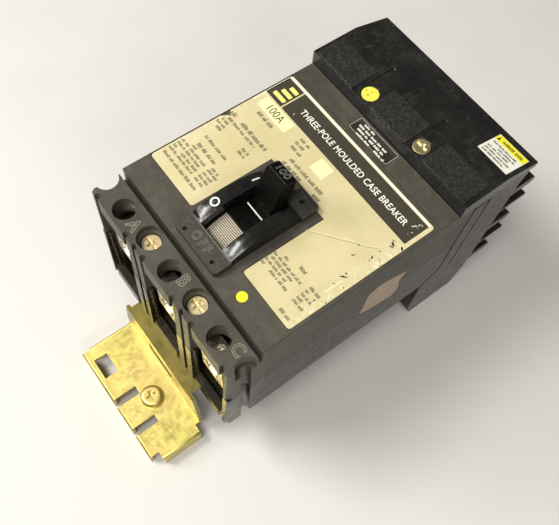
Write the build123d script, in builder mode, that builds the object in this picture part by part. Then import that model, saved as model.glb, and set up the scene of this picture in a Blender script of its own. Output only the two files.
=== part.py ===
from build123d import *
import os
from math import cos, sin, radians

# Three-pole moulded case circuit breaker that plugs onto stacked busbars.
# It lies on its back: +X is the line (jaw) end, +Y is pole A, +Z is the front with the handle.
# Dimensions below are measured from the cover's load-side edge (X) and the front face (Z);
# fx() and fz() turn them into the shared frame, whose origin is under the middle of the breaker.
overall_rear_x = -57.5
overall_front_x = 168.5
face_height = 122.5


def fx(x):
    return x - (overall_rear_x + overall_front_x) / 2


def fz(z):
    return z + face_height


# Case
case_half_width = 52.4
wall = 3.0
case_line_x = 117.5
cover_load_x = -16.5
cover_foot_x = -17.6
base_load_x = -17.8
base_foot_x = -19.4
parting_z = -37.0
parting_gap = 0.2
base_bottom_z = -77.6
base_floor_z = -74.1
terminal_top_z = -3.2
cover_ceiling_z = -3.4
cap_seat_x = 106.3
cap_seat_z = -1.2
groove_x = -2.0
groove_floor_z = -9.0
barrier_y = 18.0
barrier_half = 1.5
pole_y = (36.0, 0.0, -36.0)
pole_name = ("a", "b", "c")
wide_screw_y = 17.8
load_screw_x = -8.0
line_screw_x = 112.6
load_head_z = -11.4
column_radius = 7.6
lug_x = -9.6
lug_hole_radius = 5.35
lug_screw_radius = 3.4
lug_screw_top_z = -19.0
wire_z = -37.0
wire_bore = 5.2
corner_notch_radius = 5.5
corner_slot_radius = 2.5

# Nameplate
label_x = (14.0, 93.5)
label_y = (-50.4, 51.6)
label_recess = 0.5
label_thick = 0.3
label_rounding = 1.5
label_window_half = 19.0
label_window_x = 57.0

# Handle and escutcheon
pivot_x = 29.5
pivot_z = -32.0
hump_radius = 40.3
hump_bore = 36.2
hump_half_width = 14.3
slot_half_width = 7.8
slot_x = (11.5, 47.6)
escutcheon_x = (2.5, 57.6)
escutcheon_half_width = 15.0
block_top_z = 3.8
shelf_edge_y = -2.8
handle_lean = 18.0
handle_length = 56.2
handle_half_width = 6.1
shield_outer = 35.3
shield_inner = 34.3
shield_lean = 16.1
shield_half_angle = 25.1
shutter_outer = 33.9
shutter_inner = 32.9
shutter_half_angle = 40.5
shutter_slot_angle = 17.0
shutter_lean = 9.0
shield_half_width = 7.3

# Mechanism
crossbar_x = 62.0
crossbar_z = -56.0
crossbar_radius = 5.0
crossbar_neck = 3.2
crank_radius = 16.0
crank_angle = -24.0
cradle_pin_x = 46.0
cradle_pin_z = -34.0
cradle_pivot_x = 54.9
cradle_pivot_z = -25.4
link_pin_radius = 1.5
link_bore = 1.58
spring_pin_radius = 18.0
frame_inner_y = 12.0
frame_outer_y = 13.5

# Contacts
strap_top_z = -65.6
strap_thick = 2.0
contact_pad = 2.0
contact_x = (83.5, 90.5)

# Line end
housing_x = 118.5
housing_wall_x = 150.5
housing_top_z = -1.4
jaw_z = (-31.6, -66.6, -101.6)
thick_prong_z = (-22.0, -57.0, -92.0)
thin_prong_z = (-39.5, -74.5)
cap_x = (106.6, 154.5)
cap_half_width = 53.0
cap_wall = 2.4
cap_top_z = 7.4
cap_bottom_z = -1.0
cap_kink_x = 133.0
cap_nose_z = 2.1

# Mounting bracket
sheet = 2.0
foot_z = -112.0
foot_x = (-57.5, -24.0)
foot_y = (-41.5, 34.5)
bracket_screw_x = -39.1
bracket_screw_y = -9.5
bracket_thread_radius = 3.0
bracket_thread_top_z = -115.6
bracket_thread_end_z = -121.9

os.makedirs("parts", exist_ok=True)


def block(x0, x1, y0, y1, z0, z1, mode=Mode.ADD):
    with Locations((fx((x0 + x1) / 2), (y0 + y1) / 2, fz((z0 + z1) / 2))):
        Box(x1 - x0, y1 - y0, z1 - z0, mode=mode)


def post(x, y, z0, z1, radius, mode=Mode.ADD):
    with Locations((fx(x), y, fz((z0 + z1) / 2))):
        Cylinder(radius, z1 - z0, mode=mode)


def driving_recess(x, y, bottom_z, top_z, long_slot, short_slot, slot_width):
    """Cross-shaped recess in a screw head, with a round middle."""
    half = slot_width / 2
    block(x - half, x + half, y - long_slot / 2, y + long_slot / 2, bottom_z, top_z, Mode.SUBTRACT)
    block(x - short_slot / 2, x + short_slot / 2, y - half, y + half, bottom_z, top_z, Mode.SUBTRACT)
    post(x, y, bottom_z, top_z, slot_width, Mode.SUBTRACT)


def rod_y(x, z, y0, y1, radius, mode=Mode.ADD):
    with Locations((fx(x), (y0 + y1) / 2, fz(z))):
        Cylinder(radius, y1 - y0, rotation=(90, 0, 0), mode=mode)


def rod_x(y, z, x0, x1, radius, mode=Mode.ADD):
    with Locations((fx((x0 + x1) / 2), y, fz(z))):
        Cylinder(radius, x1 - x0, rotation=(0, 90, 0), mode=mode)


def slab_y(points, y0, y1, mode=Mode.ADD, rounding=0.0):
    """A side profile (X, Z) carried from y0 to y1."""
    with BuildSketch(Plane.XZ.offset(-y1)) as profile:
        Polygon(*[(fx(x), fz(z)) for x, z in points], align=None)
        if rounding:
            fillet(profile.vertices(), rounding)
    extrude(profile.sketch, amount=y1 - y0, mode=mode)


def slab_z(points, z0, z1, mode=Mode.ADD, rounding=0.0):
    """A plan outline (X, Y) carried from z0 to z1."""
    with BuildSketch(Plane.XY.offset(fz(z0))) as outline:
        Polygon(*[(fx(x), y) for x, y in points], align=None)
        if rounding:
            fillet(outline.vertices(), rounding)
    extrude(outline.sketch, amount=z1 - z0, mode=mode)


def arc_plate(inner, outer, middle, half_angle, half_width):
    """A curved plate about the handle pivot, centred on an angle from upright."""
    rod_y(pivot_x, pivot_z, -half_width, half_width, outer)
    rod_y(pivot_x, pivot_z, -half_width - 1, half_width + 1, inner, mode=Mode.SUBTRACT)
    reach = outer * 2
    start = radians(90 - middle - half_angle)
    end = radians(90 - middle + half_angle)
    wedge = [(pivot_x, pivot_z)]
    for step in range(5):
        angle = start + (end - start) * step / 4
        wedge.append((pivot_x + reach * cos(angle), pivot_z + reach * sin(angle)))
    slab_y(wedge, -half_width, half_width, mode=Mode.INTERSECT)


def lever_bar(x0, z0, x1, z1, y0, y1, half, bore):
    """A flat link with round ends and a hole at each end."""
    length = ((x1 - x0) ** 2 + (z1 - z0) ** 2) ** 0.5
    nx = -(z1 - z0) / length * half
    nz = (x1 - x0) / length * half
    slab_y([(x0 + nx, z0 + nz), (x1 + nx, z1 + nz), (x1 - nx, z1 - nz), (x0 - nx, z0 - nz)], y0, y1)
    rod_y(x0, z0, y0, y1, half)
    rod_y(x1, z1, y0, y1, half)
    rod_y(x0, z0, y0 - 1, y1 + 1, bore, mode=Mode.SUBTRACT)
    rod_y(x1, z1, y0 - 1, y1 + 1, bore, mode=Mode.SUBTRACT)


def save(builder, name, colour):
    builder.part.label = name
    builder.part.color = Color(colour)
    export_step(builder.part, "parts/" + name + ".step")


# ---- base: open tray with three pole channels ----
channel_y = ((19.5, 49.4), (-16.5, 16.5), (-49.4, -19.5))
base_top_z = parting_z - parting_gap
with BuildPart() as base:
    slab_y([(base_load_x, base_top_z), (case_line_x, base_top_z), (case_line_x, base_bottom_z),
            (base_foot_x, base_bottom_z)], -case_half_width, case_half_width)
    for low, high in channel_y:
        block(base_load_x + wall, case_line_x - wall, low, high, base_floor_z, base_top_z + 1, Mode.SUBTRACT)
    # bosses for the case screws and the corner mounting slots
    for side in (-1, 1):
        for screw_x in (load_screw_x, line_screw_x):
            post(screw_x, side * wide_screw_y, base_floor_z - 1, base_top_z, 4.6)
        low, high = sorted((side * 46.2, side * (case_half_width - 1)))
        block(base_load_x + 1, -0.5, low, high, base_floor_z - 1, base_top_z)
    for side in (-1, 1):
        for screw_x in (load_screw_x, line_screw_x):
            post(screw_x, side * wide_screw_y, -64, base_top_z + 1, 2.05, Mode.SUBTRACT)
        post(-8.0, side * 51.5, base_bottom_z - 1, base_top_z + 1, corner_slot_radius, Mode.SUBTRACT)
        low, high = sorted((side * 51.5, side * 56))
        block(-8.0 - corner_slot_radius, -8.0 + corner_slot_radius, low, high, base_bottom_z - 1,
              base_top_z + 1, Mode.SUBTRACT)
    # wire windows and line strap slots
    for y in pole_y:
        block(base_foot_x - 1, base_load_x + wall + 0.5, y - 11, y + 11, -70, base_top_z + 1, Mode.SUBTRACT)
        block(case_line_x - wall - 1, case_line_x + 1, y - 8, y + 8, -69.5, -63.6, Mode.SUBTRACT)
    # crossbar passages in the barriers
    for side in (-1, 1):
        low, high = sorted((side * 15.5, side * 20.5))
        block(crossbar_x - 5.4, crossbar_x + 5.4, low, high, crossbar_z - 5.4, base_top_z + 1, Mode.SUBTRACT)
    # end-face grooves beside each window
    for y in (48.2, 25.0, 18.0, 11.6, -11.0, -18.0, -24.8, -47.4):
        block(base_foot_x - 1, base_load_x + 1.4, y - 1.2, y + 1.2, base_bottom_z - 1, base_top_z + 1,
              Mode.SUBTRACT)
    # relieved lower corner at the line end
    slab_y([(case_line_x + 1, -67.6), (case_line_x + 1, -80), (105.4, -80)], -60, 60, Mode.SUBTRACT)
    # rivet holes for the bracket
    for side in (-1, 1):
        post(3.0, side * 10.0, base_bottom_z - 1, base_floor_z + 1, 2.05, Mode.SUBTRACT)
    # bevelled corners at the load end
    for side in (-1, 1):
        outside_y = side * (case_half_width + 1)
        bevel = [(base_foot_x - 1, side * (case_half_width - 3.0)), (base_foot_x - 1, outside_y),
                 (base_foot_x + 3.4, outside_y)]
        slab_z(bevel, base_bottom_z - 1, base_top_z + 1, Mode.SUBTRACT)
save(base, "base", "gray20")

# ---- cover: hollow lid, terminal shelf at the load end, seat for the end cap ----
with BuildPart() as cover:
    block(0, cap_seat_x, -case_half_width, case_half_width, parting_z, 0)
    block(cap_seat_x - 1, case_line_x, -case_half_width, case_half_width, parting_z, cap_seat_z)
    slab_y([(cover_load_x, terminal_top_z), (1, terminal_top_z), (1, parting_z), (cover_foot_x, parting_z)],
           -case_half_width, case_half_width)
    for low, high in channel_y:
        block(1.5, case_line_x - wall, low, high, parting_z - 1, cover_ceiling_z, Mode.SUBTRACT)
        block(cover_load_x + wall, -0.5, low, high, parting_z - 1, -14.0, Mode.SUBTRACT)
    for side in (-1, 1):
        post(load_screw_x, side * wide_screw_y, parting_z, -13, column_radius)
        post(line_screw_x, side * wide_screw_y, parting_z, -3, 4.6)
        low, high = sorted((side * 45.6, side * (case_half_width - 1)))
        block(cover_load_x + 1, -0.5, low, high, parting_z, -13)
    # groove between the terminal shelf and the cover
    block(groove_x, 0, -60, 60, groove_floor_z, 1, Mode.SUBTRACT)
    # passages below the shelf for the load straps and pole leads
    for low, high in channel_y:
        block(-1.0, 2.0, low + 3, high - 3, parting_z - 1, -26.0, Mode.SUBTRACT)
    # screw wells
    for side in (-1, 1):
        y = side * wide_screw_y
        post(load_screw_x, y, -6.4, 1, 6.0, Mode.SUBTRACT)
        post(load_screw_x, y, load_head_z, 1, 4.8, Mode.SUBTRACT)
        post(load_screw_x, y, parting_z - 1, 1, 2.3, Mode.SUBTRACT)
        post(line_screw_x, y, parting_z - 1, 1, 2.3, Mode.SUBTRACT)
    # lug screw wells, wire windows and end-face grooves
    for y in pole_y:
        post(lug_x, y, -16, 1, lug_hole_radius, Mode.SUBTRACT)
        block(cover_foot_x - 1, cover_load_x + wall + 0.5, y - 11, y + 11, parting_z - 1, -13.5,
              Mode.SUBTRACT)
    for y in (48.2, 25.0, 11.6, -11.0, -24.8, -47.4):
        block(cover_foot_x - 1, cover_load_x + 1.0, y - 1.4, y + 1.4, parting_z - 1, 1, Mode.SUBTRACT)
        post(cover_load_x + 1.0, y, parting_z - 1, 1, 1.4, Mode.SUBTRACT)
    for y in (18.0, -18.0):
        block(cover_foot_x - 1, cover_load_x + 1.6, y - 1.2, y + 1.2, parting_z - 1, 1, Mode.SUBTRACT)
    # bevelled corners and mounting notches at the load end
    for side in (-1, 1):
        outside_y = side * (case_half_width + 1)
        bevel = [(cover_foot_x - 1, side * (case_half_width - 2.4)), (cover_foot_x - 1, outside_y),
                 (cover_foot_x + 4.2, outside_y)]
        slab_z(bevel, parting_z - 1, 1, Mode.SUBTRACT)
        post(-8.0, side * 53.5, -12.0, 1, corner_notch_radius, Mode.SUBTRACT)
        post(-8.0, side * 51.5, parting_z - 1, 1, corner_slot_radius, Mode.SUBTRACT)
        low, high = sorted((side * 51.5, side * 56))
        block(-8.0 - corner_slot_radius, -8.0 + corner_slot_radius, low, high, parting_z - 1, 1,
              Mode.SUBTRACT)
    # trip bar passages in the barriers
    for side in (-1, 1):
        low, high = sorted((side * 15.5, side * 20.5))
        block(12.0, 20.0, low, high, parting_z - 1, -23.5, Mode.SUBTRACT)
    # nameplate recess, handle window and the fine line ahead of the end strip
    block(label_x[0] - 0.4, label_x[1] + 0.4, label_y[0] - 0.3, label_y[1] + 0.3, -label_recess, 1,
          Mode.SUBTRACT)
    block(escutcheon_x[0] - 0.5, label_window_x - 0.4, -label_window_half + 0.4, label_window_half - 0.4,
          -label_recess - 1, 0)
    block(4.8, 55.2, -13.7, 13.7, -12, 1, Mode.SUBTRACT)
    block(95.0, 95.6, -60, 60, -0.5, 1, Mode.SUBTRACT)
    long_edges = cover.edges().filter_by(Axis.X)
    outer_edges = long_edges.filter_by(lambda e: abs(abs(e.center().Y) - case_half_width) < 0.01)
    top_edges = outer_edges.filter_by(lambda e: e.center().Z > fz(-0.1))
    chamfer(top_edges, 0.3)
save(cover, "cover", "gray30")

# ---- escutcheon around the handle ----
with BuildPart() as escutcheon:
    outline = [(escutcheon_x[0], -escutcheon_half_width), (escutcheon_x[1], -escutcheon_half_width),
               (escutcheon_x[1], escutcheon_half_width), (escutcheon_x[0], escutcheon_half_width)]
    slab_z(outline, 0.05, block_top_z, rounding=2.0)
    block(slot_x[0], slot_x[1], -20, 20, -5, 8, Mode.SUBTRACT)
    rod_y(pivot_x, pivot_z, -hump_half_width, hump_half_width, hump_radius)
    block(slot_x[0] - 60, slot_x[0] - 0.01, -20, 20, -80, 0.05, Mode.SUBTRACT)
    block(slot_x[1] + 0.01, slot_x[1] + 60, -20, 20, -80, 0.05, Mode.SUBTRACT)
    block(-20, 80, -20, 20, -80, 0.05, Mode.SUBTRACT)
    block(slot_x[0] - 0.2, slot_x[1] + 0.2, -hump_half_width, hump_half_width, 0.05, 1.2)
    block(5.0, 55.0, -13.5, 13.5, cover_ceiling_z, 0.06)
    # bore for the curved shields and the handle slot
    rod_y(pivot_x, pivot_z, -shield_half_width - 0.6, shield_half_width + 0.6, hump_bore, Mode.SUBTRACT)
    block(slot_x[0], slot_x[1], -slot_half_width, slot_half_width, -10, 12, Mode.SUBTRACT)
    # lower shelf and the trip test hole at the ON end
    block(slot_x[1] + 0.2, escutcheon_x[1] - 0.8, -14.4, shelf_edge_y, 2.4, 8, Mode.SUBTRACT)
    post(53.5, -7.5, -5, 6, 1.3, Mode.SUBTRACT)
    # two small holes at the OFF end
    post(4.9, 9.8, 1.0, 6, 1.0, Mode.SUBTRACT)
    post(5.2, -9.7, 1.0, 6, 1.0, Mode.SUBTRACT)
save(escutcheon, "escutcheon", "gray10")

# ---- handle: lever, neck and curved shield, leaning to ON ----
lean = radians(handle_lean)


def leaned(along, across):
    """Point on the handle: distance from the pivot and offset across the lever."""
    x = pivot_x + along * sin(lean) + across * cos(lean)
    z = pivot_z + along * cos(lean) - across * sin(lean)
    return (x, z)


with BuildPart() as handle:
    arc_plate(shield_inner, shield_outer, shield_lean, shield_half_angle, shield_half_width)
    lever = [leaned(34.8, -4.7), leaned(handle_length, -2.5), leaned(handle_length, 3.7), leaned(34.8, 4.7)]
    slab_y(lever, -handle_half_width, handle_half_width)
    slab_y([leaned(4.0, -4.0), leaned(34.9, -4.0), leaned(34.9, 4.0), leaned(4.0, 4.0)], -5.4, 5.4)
    rod_y(pivot_x, pivot_z, -7.0, 7.0, 6.0)
    rod_y(pivot_x, pivot_z, -8.0, 8.0, 2.56, Mode.SUBTRACT)
    pin_x, pin_z = leaned(spring_pin_radius, 0)
    rod_y(pin_x, pin_z, -8.0, 8.0, 1.55, Mode.SUBTRACT)
    tip_edges = handle.edges().sort_by(Axis.Z)[-4:]
    fillet(tip_edges, 0.9)
save(handle, "handle", "gray5")

# ---- shutter: thinner curved plate under the handle's shield ----
with BuildPart() as shutter:
    arc_plate(shutter_inner, shutter_outer, shutter_lean, shutter_half_angle, shield_half_width)
    start = radians(90 - shutter_lean - shutter_slot_angle)
    end = radians(90 - shutter_lean + shutter_slot_angle)
    opening = [(pivot_x, pivot_z), (pivot_x + 50 * cos(start), pivot_z + 50 * sin(start)),
               (pivot_x + 50 * cos((start + end) / 2), pivot_z + 50 * sin((start + end) / 2)),
               (pivot_x + 50 * cos(end), pivot_z + 50 * sin(end))]
    slab_y(opening, -5.8, 5.8, Mode.SUBTRACT)
save(shutter, "shutter", "gray15")

# ---- nameplate and the small stickers ----
with BuildPart() as nameplate:
    outline = [(label_x[0], label_y[0]), (label_x[1], label_y[0]),
               (label_x[1], label_y[1]), (label_x[0], label_y[1])]
    slab_z(outline, -label_recess, -label_recess + label_thick, rounding=label_rounding)
    block(label_x[0] - 2, label_window_x, -label_window_half, label_window_half, -2, 1, Mode.SUBTRACT)
    window_edges = nameplate.edges().filter_by(Axis.Z).filter_by(
        lambda e: abs(abs(e.center().Y) - label_window_half) < 0.01)
    fillet(window_edges.sort_by(Axis.X)[:2], label_rounding)
save(nameplate, "nameplate", "wheat")

with BuildPart() as seal_dot:
    post(7.2, -28.1, 0, 0.2, 2.4)
save(seal_dot, "seal_dot", "yellow")

with BuildPart() as strip_sticker:
    block(96.6, 105.6, -13.4, 13.4, 0, 0.12)
save(strip_sticker, "strip_sticker", "gray25")

# torn remains of a seal over the joint of the case, on the near side
with BuildPart() as side_sticker:
    torn_outline = [(57.9, -44.3), (58.9, -34.3), (59.6, -24.4), (65.6, -20.4), (75.6, -23.6), (83.6, -28.0),
                    (80.4, -34.0), (82.2, -42.2), (82.4, -48.4), (79.6, -52.0), (67.0, -48.6)]
    slab_y(torn_outline, -case_half_width - 0.12, -case_half_width)
save(side_sticker, "side_sticker", "rosybrown")

# ---- end cap over the line end ----
with BuildPart() as line_cap:
    slab_y([(cap_x[0], cap_bottom_z), (cap_x[1], cap_bottom_z), (cap_x[1], cap_nose_z),
            (cap_kink_x, cap_top_z), (cap_x[0], cap_top_z)], -cap_half_width, cap_half_width)
    inside = [(cap_x[0] + 2.2, cap_bottom_z - 1), (cap_x[1] - 2.2, cap_bottom_z - 1),
              (cap_x[1] - 2.2, cap_nose_z - 1.9), (cap_kink_x - 0.4, cap_top_z - cap_wall),
              (cap_x[0] + 2.2, cap_top_z - cap_wall)]
    slab_y(inside, -cap_half_width + cap_wall, cap_half_width - cap_wall, Mode.SUBTRACT)
    # the wells for the two screws, on posts that reach the cover
    for side in (-1, 1):
        post(line_screw_x, side * wide_screw_y, cap_bottom_z, cap_top_z - 1, 6.0)
    block(cap_x[0] - 5, cap_x[0], -30, 30, -5, 9, Mode.SUBTRACT)
    for side in (-1, 1):
        post(line_screw_x, side * wide_screw_y, cap_top_z - 2.2, cap_top_z + 2, 4.6, Mode.SUBTRACT)
        post(line_screw_x, side * wide_screw_y, -5, cap_top_z + 2, 2.3, Mode.SUBTRACT)
    # raised pads over the three poles
    for low, high in ((25.0, 51.0), (-12.2, 13.0), (-50.6, -23.2)):
        block(107.4, 123.4, low, high, cap_top_z - 0.5, cap_top_z + 0.5)
    # shallow channels between the pads
    for low, high in ((21.6, 23.4), (-14.6, -13.2)):
        block(117.5, cap_kink_x - 1, low, high, cap_top_z - 0.7, cap_top_z + 1, Mode.SUBTRACT)
save(line_cap, "line_cap", "gray8")

slope_drop = (cap_top_z - cap_nose_z) / (cap_x[1] - cap_kink_x)


def cap_slope_z(x):
    return cap_top_z - slope_drop * (x - cap_kink_x)


with BuildPart() as caution_sticker:
    slab_y([(132.0 + 1.4, cap_slope_z(133.4) + 0.02), (150.2, cap_slope_z(150.2) + 0.02),
            (150.2, cap_slope_z(150.2) + 0.17), (133.4, cap_slope_z(133.4) + 0.17)], -50.6, -32.3)
save(caution_sticker, "caution_sticker", "lightyellow")

# ---- screws that hold the case together ----
with BuildPart() as load_screws:
    for side in (-1, 1):
        post(load_screw_x, side * wide_screw_y, load_head_z + 0.05, load_head_z + 2.9, 4.4)
        post(load_screw_x, side * wide_screw_y, -62.0, load_head_z + 0.05, 2.0)
        driving_recess(load_screw_x, side * wide_screw_y, load_head_z + 1.6, load_head_z + 4, 7.0, 4.2, 1.2)
save(load_screws, "load_screws", "goldenrod")

for name, side in (("a", 1), ("b", -1)):
    y = side * wide_screw_y
    with BuildPart() as cap_screw:
        post(line_screw_x, y, cap_top_z - 2.15, cap_top_z - 0.1, 4.2)
        post(line_screw_x, y, -62.0, cap_top_z - 2.15, 2.0)
        driving_recess(line_screw_x, y, cap_top_z - 1.0, cap_top_z + 1, 6.0, 4.0, 1.1)
    save(cap_screw, "cap_screw_" + name, "yellow" if name == "a" else "goldenrod")

# ---- jaw housing: side plates and barriers with prongs that straddle the busbars ----
side_outline = [(housing_x, housing_top_z), (152.6, housing_top_z), (152.6, -6.0), (housing_wall_x, -14.0),
                (housing_wall_x, -101.0), (146.0, -face_height), (112.5, -face_height), (108.5, -112.0),
                (108.5, -79.2), (housing_x, -70.0)]
barrier_outline = [(121.0, housing_top_z), (149.0, housing_top_z), (149.0, -101.0), (145.0, -121.0),
                   (113.0, -121.0), (111.0, -112.0), (111.0, -80.4), (121.0, -71.2)]
with BuildPart() as jaw_housing:
    for side in (-1, 1):
        low, high = sorted((side * (case_half_width - wall), side * case_half_width))
        slab_y(side_outline, low, high)
        low, high = sorted((side * (barrier_y - barrier_half), side * (barrier_y + barrier_half)))
        slab_y(barrier_outline, low, high)
    for low, high in ((case_half_width - 4.5, case_half_width), (-case_half_width, -case_half_width + 4.5),
                      (barrier_y - 2.2, barrier_y + 2.2), (-barrier_y - 2.2, -barrier_y + 2.2)):
        for z in thick_prong_z:
            block(140.0, 163.0, low, high, z - 3.0, z + 3.0)
            rod_y(163.0, z, low, high, 3.0)
        for z in thin_prong_z:
            block(140.0, overall_front_x, low, high, z - 1.25, z + 1.25)
    # rear wall and floor
    rear_outline = [(housing_x, housing_top_z), (121.5, housing_top_z), (121.5, -71.4), (111.5, -80.6),
                    (111.5, -119.5), (145.5, -119.5), (146.0, -face_height), (112.5, -face_height),
                    (108.5, -112.0), (108.5, -79.2), (housing_x, -70.0)]
    slab_y(rear_outline, -case_half_width + 1, case_half_width - 1)
    for y in pole_y:
        block(housing_x - 1, 122.5, y - 8, y + 8, -69.2, -63.6, Mode.SUBTRACT)
    # vertical rib lines on the two outer sides
    for side in (-1, 1):
        low, high = sorted((side * (case_half_width - 0.9), side * 60))
        block(127.4, 128.4, low, high, -74.0, -5.0, Mode.SUBTRACT)
        block(housing_x - 1, 127.4, low, high, -6.6, -5.4, Mode.SUBTRACT)
save(jaw_housing, "jaw_housing", "gray12")

# ---- line conductors, fixed contacts and bus jaws ----
strap_bottom_z = strap_top_z - strap_thick
for name, y, level in zip(pole_name, pole_y, jaw_z):
    with BuildPart() as line_strap:
        block(80.0, 126.0, y - 6.5, y + 6.5, strap_bottom_z, strap_top_z)
        low, high = sorted((level, (strap_bottom_z + strap_top_z) / 2))
        block(124.0, 126.0, y - 6.5, y + 6.5, low - 4.5, high + 4.5)
    save(line_strap, "line_strap_" + name, "chocolate")

    with BuildPart() as jaw:
        block(126.0, 128.2, y - 8.5, y + 8.5, level - 5.4, level + 5.4)
        for side in (-1, 1):
            slab_y([(128.0, level + side * 3.4), (141.0, level + side * 2.5), (146.0, level + side * 2.5),
                    (149.0, level + side * 4.2), (149.0, level + side * 6.0), (145.4, level + side * 4.5),
                    (141.0, level + side * 4.5), (128.0, level + side * 5.4)], y - 8.5, y + 8.5)
    save(jaw, "jaw_" + name, "peru")

with BuildPart() as jaw_springs:
    for y, level in zip(pole_y, jaw_z):
        for side in (-1, 1):
            slab_y([(129.5, level + side * 5.5), (141.2, level + side * 4.7), (144.0, level + side * 4.7),
                    (144.0, level + side * 5.5), (141.2, level + side * 5.5), (129.5, level + side * 6.3)],
                   y - 5.0, y + 5.0)
        for edge in (-1, 1):
            low, high = sorted((y + edge * 8.7, y + edge * 9.5))
            block(132.0, 138.0, low, high, level - 6.2, level + 6.2)
            low, high = sorted((y + edge * 4.0, y + edge * 9.5))
            for side in (-1, 1):
                floor, roof = sorted((level + side * 5.45, level + side * 6.2))
                block(132.0, 136.0, low, high, floor, roof)
save(jaw_springs, "jaw_springs", "lightsteelblue")

with BuildPart() as fixed_contacts:
    for y in pole_y:
        block(contact_x[0], contact_x[1], y - 3.6, y + 3.6, strap_top_z, strap_top_z + contact_pad)
save(fixed_contacts, "fixed_contacts", "silver")

# ---- crossbar with three contact arms ----
crank = radians(crank_angle)
crank_x = crossbar_x + crank_radius * cos(crank)
crank_z = crossbar_z + crank_radius * sin(crank)
pad_bottom_z = strap_top_z + contact_pad + 0.1
arm_bottom_z = pad_bottom_z + contact_pad
with BuildPart() as crossbar:
    rod_y(crossbar_x, crossbar_z, -47.0, 47.0, crossbar_radius)
    for side in (-1, 1):
        low, high = sorted((side * 5.4, side * 8.3))
        rod_y(crossbar_x, crossbar_z, low, high, crossbar_radius + 1, Mode.SUBTRACT)
        rod_y(crossbar_x, crossbar_z, low, high, crossbar_neck)
        low, high = sorted((side * 8.5, side * 10.8))
        lever_bar(crossbar_x, crossbar_z, crank_x, crank_z, low, high, 3.4, link_bore)
        rod_y(crossbar_x, crossbar_z, low, high, crossbar_radius)
save(crossbar, "crossbar", "gray12")

with BuildPart() as crank_pin:
    rod_y(crank_x, crank_z, -11.2, 11.2, link_pin_radius)
save(crank_pin, "crank_pin", "silver")

with BuildPart() as contact_arms:
    for y in pole_y:
        arm_outline = [(54.5, -60.5), (54.5, -53.0), (60.0, -49.0), (66.0, -49.6), (92.0, -57.0),
                       (93.2, arm_bottom_z), (82.0, arm_bottom_z), (66.0, -62.6)]
        slab_y(arm_outline, y - 3.0, y + 3.0)
        rod_y(crossbar_x, crossbar_z, y - 4, y + 4, crossbar_radius + 0.05, Mode.SUBTRACT)
        rod_y(crank_x, crank_z, y - 4, y + 4, link_bore, Mode.SUBTRACT)
save(contact_arms, "contact_arms", "chocolate")

with BuildPart() as moving_contacts:
    for y in pole_y:
        block(contact_x[0] + 0.4, contact_x[1] - 0.4, y - 3.0, y + 3.0, pad_bottom_z, arm_bottom_z)
save(moving_contacts, "moving_contacts", "silver")

# ---- toggle links between the cradle and the crossbar ----
knee_x = cradle_pin_x + crank_radius * cos(crank)
knee_z = cradle_pin_z + crank_radius * sin(crank)
with BuildPart() as upper_links:
    for side in (-1, 1):
        low, high = sorted((side * 3.8, side * 5.2))
        lever_bar(cradle_pin_x, cradle_pin_z, knee_x, knee_z, low, high, 2.6, link_bore)
save(upper_links, "upper_links", "silver")

with BuildPart() as lower_links:
    for side in (-1, 1):
        low, high = sorted((side * 5.7, side * 7.1))
        lever_bar(knee_x, knee_z, crank_x, crank_z, low, high, 2.6, link_bore)
save(lower_links, "lower_links", "silver")

with BuildPart() as knee_pin:
    rod_y(knee_x, knee_z, -10.8, 10.8, link_pin_radius)
save(knee_pin, "knee_pin", "silver")

with BuildPart() as cradle:
    cradle_outline = [(54.4, -21.2), (58.8, -25.4), (47.6, -37.4), (27.0, -47.0), (21.5, -50.0),
                      (21.5, -45.6), (27.0, -42.6), (43.0, -34.4)]
    slab_y(cradle_outline, -1.8, 1.8)
    rod_y(cradle_pin_x, cradle_pin_z, -3, 3, 1.55, Mode.SUBTRACT)
    rod_y(cradle_pivot_x, cradle_pivot_z, -3, 3, 1.55, Mode.SUBTRACT)
save(cradle, "cradle", "silver")

with BuildPart() as cradle_pins:
    rod_y(cradle_pin_x, cradle_pin_z, -6.4, 6.4, link_pin_radius)
    rod_y(cradle_pivot_x, cradle_pivot_z, -frame_outer_y - 0.8, frame_outer_y + 0.8, link_pin_radius)
save(cradle_pins, "cradle_pins", "silver")

with BuildPart() as mechanism_frame:
    for side in (-1, 1):
        low, high = sorted((side * frame_inner_y, side * frame_outer_y))
        plate_outline = [(21.5, -26.0), (25.0, -22.0), (56.0, -22.0), (60.0, -27.0), (69.5, -49.0),
                         (69.5, base_floor_z), (21.5, base_floor_z)]
        slab_y(plate_outline, low, high, rounding=1.2)
        rod_y(crossbar_x, crossbar_z, low - 1, high + 1, crossbar_radius + 0.08, Mode.SUBTRACT)
        rod_y(pivot_x, pivot_z, low - 1, high + 1, 2.52, Mode.SUBTRACT)
        rod_y(cradle_pivot_x, cradle_pivot_z, low - 1, high + 1, 1.53, Mode.SUBTRACT)
    # latch plate across the rear
    block(21.5, 23.0, -frame_outer_y, frame_outer_y, -66.0, -51.0)
save(mechanism_frame, "mechanism_frame", "lightsteelblue")

with BuildPart() as handle_pin:
    rod_y(pivot_x, pivot_z, -14.6, 14.6, 2.5)
save(handle_pin, "handle_pin", "silver")

with BuildPart() as spring_pin:
    rod_y(pin_x, pin_z, -10.6, 10.6, 1.5)
save(spring_pin, "spring_pin", "silver")

# ---- toggle springs, stretched between the handle and the knee ----
# The eye at the knee end is long, because the handle draws away from the knee on its way to OFF.
spring_dx = knee_x - pin_x
spring_dz = knee_z - pin_z
spring_length = (spring_dx ** 2 + spring_dz ** 2) ** 0.5
ux = spring_dx / spring_length
uz = spring_dz / spring_length
coil_start = 5.0
coil_length = spring_length - 2 * coil_start
coil_turns = 12
spring_wire = 0.5
eye_half = 2.7
eye_slot = 1.7
eye_travel = 6.7


def along_spring(distance):
    """Point on the spring's axis, by its distance from the pin on the handle."""
    return (pin_x + ux * distance, pin_z + uz * distance)


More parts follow.
